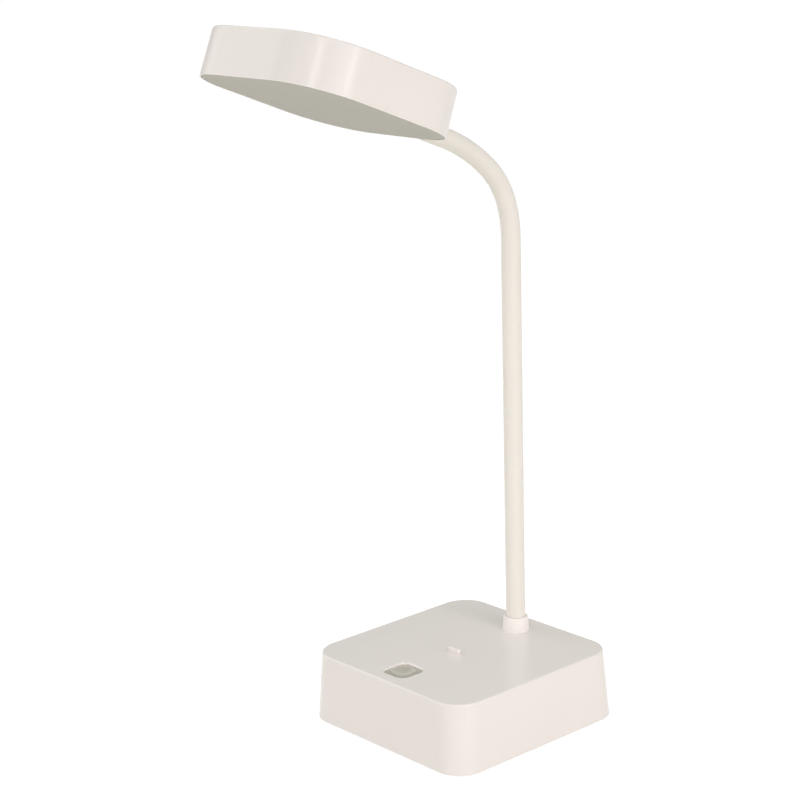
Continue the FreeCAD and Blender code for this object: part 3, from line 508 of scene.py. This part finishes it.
slotMaterial = {    # the record's slot, and what it wears here
    "white_abs": "satinMouldedAbs",
    "white_collar": "collarMouldedAbs",
    "white_silicone": "extrudedSilicone",
    "grey_key": "keyMouldedAbs",
    "opal_acrylic": "castOpalAcrylic",
    "white_plate": "plateMouldedAbs",
    "pad_foam": "slicedRubber",
    "plain_steel": "rolledBallastSteel",
    "screw_steel": "zincPlatedSteel",
    "coil_steel": "hardDrawnSpringWire",
    "nickel_brass": "nickelPlatedBrass",
    "cell_wrap": "shrunkCellWrap",
    "board_green": "greenMaskedLaminate",
    "board_white": "whiteMaskedAluminium",
    "black_mould": "blackMouldedNylon",
    "grey_mould": "greyMouldedNylon",
    "lead_pvc": "greyPvcJacket",
    "lead_red": "redPvcJacket",
    "phosphor": "phosphorResin",
    "socket_steel": "deepDrawnStainless",
}
for name, node in nodes.items():
    wear(node, materials[slotMaterial[slotOf[name]]])
print("materials made:", len(materials))

neckSettings = {                          # in metres and degrees
    "foot": (0.0, 0.0410, 0.0458),        # where the neck leaves the collar
    "runs": [                             # a length, or a bend's radius and its degrees towards the front
        (0.0060,),
        (-0.3000, -0.4),
        (0.2024,),
        (0.0613, 16.3),
        (0.0463, 31.3),
        (0.0981, 21.1),
        (0.0293,),
    ],
    "below": 0.0044,                      # the sleeve starts this far down in the collar
    "beyond": 0.0012,                     # and ends this far inside the head's wall
    "radius": 0.00520,
    "wall": 0.00100,
    "step": 0.0010,                       # length of each straight piece that its line is made of
    "sides": 48,
    "fold": 0.0120,                       # half the length that bends at one joint
    "sharpFrom": 50,                      # the angle at which an edge is shown sharp
}


def neckLine(s):    # places along the neck's middle, each with its distance from the collar
    place, heading, distance = Vector(s["foot"]), 0.0, 0.0
    line = [(-s["below"], place - Vector((0, 0, s["below"]))), (0.0, place.copy())]
    for run in s["runs"] + [(s["beyond"],)]:
        length = run[0] * math.radians(run[1]) if len(run) == 2 else run[0]
        count = max(1, round(length / s["step"]))
        for _ in range(count):
            turn = length / count / run[0] if len(run) == 2 else 0.0
            heading += turn / 2
            place = place + Vector((0, -math.sin(heading), math.cos(heading))) * (length / count)
            heading += turn / 2
            distance += length / count
            line.append((distance, place))
    return line


def cutAt(line, distance):    # the middle of the straight piece there, so both sleeves end in the same plane
    number = min(range(len(line) - 1), key=lambda i: abs(line[i][0] - distance))
    return (line[number][0] + line[number + 1][0]) / 2


def namedInputs(tree, kinds):    # the group's geometry in and out, with its named inputs between them
    tree.interface.new_socket("Geometry", in_out="INPUT", socket_type="NodeSocketGeometry")
    for name, kind in kinds.items():
        tree.interface.new_socket(name, in_out="INPUT", socket_type=f"NodeSocket{kind}")
    tree.interface.new_socket("Geometry", in_out="OUTPUT", socket_type="NodeSocketGeometry")
    return addNode(tree, "NodeGroupInput").outputs


def wornResult(tree, geometry, finish):
    real = addNode(tree, "GeometryNodeRealizeInstances", {}, {0: geometry})
    worn = addNode(tree, "GeometryNodeSetMaterial", {}, {"Geometry": real.outputs[0], "Material": finish})
    addNode(tree, "NodeGroupOutput", {}, {0: worn.outputs[0]})


def setInputs(modifier, tree, values):    # by each socket's identifier, before the piece is first evaluated
    modifier.node_group = tree
    sockets = {item.name: item.identifier for item in tree.interface.items_tree if item.in_out == "INPUT"}
    for name, value in values.items():
        modifier[sockets[name]] = value


def sleeveTree():
    tree = bpy.data.node_groups.new("sleeveAlongNeck", "GeometryNodeTree")
    given = namedInputs(tree, {
        "Start": "Float", "End": "Float", "Radius": "Float", "Sides": "Int", "Finish": "Material"})
    curve = addNode(tree, "GeometryNodeMeshToCurve", {}, {0: given["Geometry"]})
    part = addNode(tree, "GeometryNodeTrimCurve",
                   {"mode": "LENGTH"}, {0: curve.outputs[0], 4: given["Start"], 5: given["End"]})
    upright = addNode(tree, "GeometryNodeSetCurveNormal",
                      {"mode": "FREE", "Normal": (1.0, 0.0, 0.0)}, {"Curve": part.outputs[0]})
    gone = addNode(tree, "GeometryNodeSplineParameter")
    along = addNode(tree, "ShaderNodeMath",
                    {"operation": "ADD"}, {0: gone.outputs["Length"], 1: given["Start"]})
    marked = addNode(tree, "GeometryNodeStoreNamedAttribute",
                     {"data_type": "FLOAT", "domain": "POINT", "Name": "along"},
                     {"Geometry": upright.outputs[0], "Value": along.outputs[0]})
    ring = addNode(tree, "GeometryNodeCurvePrimitiveCircle", {},
                   {"Resolution": given["Sides"], "Radius": given["Radius"]})
    spot = addNode(tree, "GeometryNodeInputPosition")
    ring = addNode(tree, "GeometryNodeStoreNamedAttribute",
                   {"data_type": "FLOAT_VECTOR", "domain": "POINT", "Name": "section"},
                   {"Geometry": ring.outputs["Curve"], "Value": spot.outputs[0]})
    tube = addNode(tree, "GeometryNodeCurveToMesh", {},
                   {"Curve": marked.outputs[0], "Profile Curve": ring.outputs[0]})
    reach = addNode(tree, "GeometryNodeInputNamedAttribute", {"data_type": "FLOAT", "Name": "along"})
    section = addNode(tree, "GeometryNodeInputNamedAttribute",
                      {"data_type": "FLOAT_VECTOR", "Name": "section"})
    length = addNode(tree, "ShaderNodeCombineXYZ", {}, {"Z": reach.outputs[0]})
    place = addNode(tree, "ShaderNodeVectorMath",
                    {"operation": "ADD"}, {0: section.outputs[0], 1: length.outputs[0]})
    tube = addNode(tree, "GeometryNodeStoreNamedAttribute",
                   {"data_type": "FLOAT_VECTOR", "domain": "POINT", "Name": "sleevePlace"},
                   {"Geometry": tube.outputs[0], "Value": place.outputs[0]})
    smooth = addNode(tree, "GeometryNodeSetShadeSmooth", {}, {"Geometry": tube.outputs[0]})
    wornResult(tree, smooth.outputs[0], given["Finish"])
    return tree


def turnedOut(mesh):    # the same mesh with every face pointing outwards
    shape = bmesh.new()
    shape.from_mesh(mesh)
    bmesh.ops.recalc_face_normals(shape, faces=shape.faces)
    shape.to_mesh(mesh)
    shape.free()
    return mesh


def makeSleeves(s):
    line = neckLine(s)
    end = line[-1][0]
    bends = [joint for joint in joints if joint["type"] == "hinge"]
    meets = [min(line, key=lambda spot: (spot[1] - Vector(joint["pos_m"])).length) for joint in bends]
    middles = [cutAt(line, (a[0] + b[0]) / 2) for a, b in zip(meets, meets[1:])]
    cuts = [-s["below"]] + middles + [end]
    path = bpy.data.meshes.new("neckMiddle")
    path.from_pydata([tuple(place) for _, place in line], [(i, i + 1) for i in range(len(line) - 1)], [])
    tree = sleeveTree()
    for number, joint in enumerate(bends, start=1):
        maker = newPiece("sleeveMaker", path.copy())
        setInputs(maker.modifiers.new("sleeve", "NODES"), tree, {
            "Start": cuts[number - 1] + s["below"], "End": cuts[number] + s["below"], "Radius": s["radius"],
            "Sides": s["sides"], "Finish": materials["extrudedSilicone"]})
        mesh = frozenMesh(maker, f"siliconeSleeve{number}")
        bpy.data.objects.remove(maker)
        piece = newPiece(f"siliconeSleeve{number}", turnedOut(mesh))
        wall = piece.modifiers.new("wall", "SOLIDIFY")
        wall.thickness, wall.offset, wall.use_rim = s["wall"], -1.0, True
        piece.data = frozenMesh(piece, f"siliconeSleeve{number}Skin")
        piece.data.set_sharp_from_angle(angle=math.radians(s["sharpFrom"]))
        node = f"neck_sleeve_{number}"
        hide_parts(node)
        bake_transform(piece)
    print("sleeves made:", len(bends), "over", round(end + s["below"], 4), "m")


makeSleeves(neckSettings)

# Cross-recessed pan-head screws: one is turned and its recess cut, and nodes set it in every place of its
# kind. Here sizes are in millimetres again.
screwSettings = {
    "case_screws": {
        "places": [(-47, -47), (-47, 47), (47, -47), (47, 47)],
        "seat": 2.4, "head": 2.7, "shank": 1.25, "length": 9.0},
}
screwForm = {
    "rise": 0.62,             # height of the head over its radius
    "dome": [(0.0, 1.0), (0.50, 0.98), (0.74, 0.88), (0.90, 0.68), (0.98, 0.42), (1.0, 0.16), (0.97, 0.0)],
    "crossSpan": 0.62,        # half the span of the recess over the head's radius
    "crossWidth": 0.13,
    "crossDepth": 0.62,       # over the head's height
    "clear": 1.2,             # where the cutter starts, over the head's height
    "taper": 0.55,            # size of the recess at its bottom
    "tip": 0.45,              # radius of the shank's tip over its own
    "sides": 40,
    "merge": 0.001,
    "sharpFrom": 40,          # degrees
}


def spun(name, profile, s):    # a closed turned mesh about Z, from (radius, height) points
    shape = bmesh.new()
    points = [shape.verts.new((r, 0.0, z)) for r, z in profile]
    edges = [shape.edges.new(pair) for pair in zip(points, points[1:])]
    bmesh.ops.spin(shape, geom=points + edges, cent=(0, 0, 0), axis=(0, 0, 1), angle=math.tau,
                   steps=s["sides"])
    bmesh.ops.remove_doubles(shape, verts=shape.verts, dist=s["merge"] * mm)
    bmesh.ops.recalc_face_normals(shape, faces=shape.faces)
    mesh = bpy.data.meshes.new(name)
    shape.to_mesh(mesh)
    shape.free()
    return mesh


def crossMesh(span, width, top, bottom, taper):    # two crossed bars that narrow downwards
    corners = ((-1, -1), (1, -1), (1, 1), (-1, 1))
    shape = bmesh.new()
    for wide, narrow in ((span, width), (width, span)):
        rims = []
        for size, z in ((1.0, top), (taper, bottom)):
            rims.append([shape.verts.new((x * wide * size, y * narrow * size, z)) for x, y in corners])
            shape.faces.new(rims[-1])
        for k in range(4):
            after = (k + 1) % 4
            shape.faces.new((rims[0][k], rims[0][after], rims[1][after], rims[1][k]))
    bmesh.ops.recalc_face_normals(shape, faces=shape.faces)
    mesh = bpy.data.meshes.new("recess")
    shape.to_mesh(mesh)
    shape.free()
    return mesh


def screwMesh(s, form):    # its head points down and its seat lies at zero
    head, shank, length = (s[key] * mm for key in ("head", "shank", "length"))
    rise = head * form["rise"]
    profile = [(head * r, -rise * z) for r, z in form["dome"]]
    profile += [(shank, 0.0), (shank, length - shank), (shank * form["tip"], length), (0.0, length)]
    screw = newPiece("screwMaker", spun("screwBlank", profile, form))
    cross = crossMesh(head * form["crossSpan"], head * form["crossWidth"], -rise * form["clear"],
                      -rise + rise * form["crossDepth"], form["taper"])
    cutter = newPiece("recessMaker", cross)
    cut = screw.modifiers.new("recess", "BOOLEAN")
    cut.operation, cut.solver, cut.use_self, cut.object = "DIFFERENCE", "EXACT", True, cutter
    mesh = frozenMesh(screw, "panScrew")
    bpy.data.objects.remove(screw)
    bpy.data.objects.remove(cutter)
    return mesh


def screwTree():
    tree = bpy.data.node_groups.new("screwsInPlace", "GeometryNodeTree")
    given = namedInputs(tree, {"Screw": "Object", "Turn": "Float", "Seed": "Int", "Finish": "Material"})
    screw = addNode(tree, "GeometryNodeObjectInfo", {}, {"Object": given["Screw"]})
    turn = addNode(tree, "FunctionNodeRandomValue",
                   {"data_type": "FLOAT"}, {3: given["Turn"], "Seed": given["Seed"]})
    about = addNode(tree, "ShaderNodeCombineXYZ", {}, {"Z": turn.outputs[1]})
    placed = addNode(tree, "GeometryNodeInstanceOnPoints", {}, {
        "Points": given["Geometry"], "Instance": screw.outputs["Geometry"], "Rotation": about.outputs[0]})
    wornResult(tree, placed.outputs[0], given["Finish"])
    return tree


def makeScrews(settings, form):
    tree = screwTree()
    for seed, (node, s) in enumerate(settings.items(), start=1):
        screw = newPiece("screwMaker", screwMesh(s, form))
        wear(screw, materials["zincPlatedSteel"])
        places = bpy.data.meshes.new("screwPlaces")
        places.from_pydata([(x * mm, y * mm, s["seat"] * mm) for x, y in s["places"]], [], [])
        maker = newPiece("screwSetter", places)
        setInputs(maker.modifiers.new("screws", "NODES"), tree, {
            "Screw": screw, "Turn": math.pi, "Seed": seed, "Finish": materials["zincPlatedSteel"]})
        name = node.replace("_s", "S")
        piece = newPiece(name, frozenMesh(maker, name))
        piece.data.set_sharp_from_angle(angle=math.radians(form["sharpFrom"]))
        bpy.data.objects.remove(maker)
        bpy.data.objects.remove(screw)
        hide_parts(node)
        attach(piece, bodyOf[node])
        print("screws set:", len(s["places"]), "for", node)


makeScrews(screwSettings, screwForm)
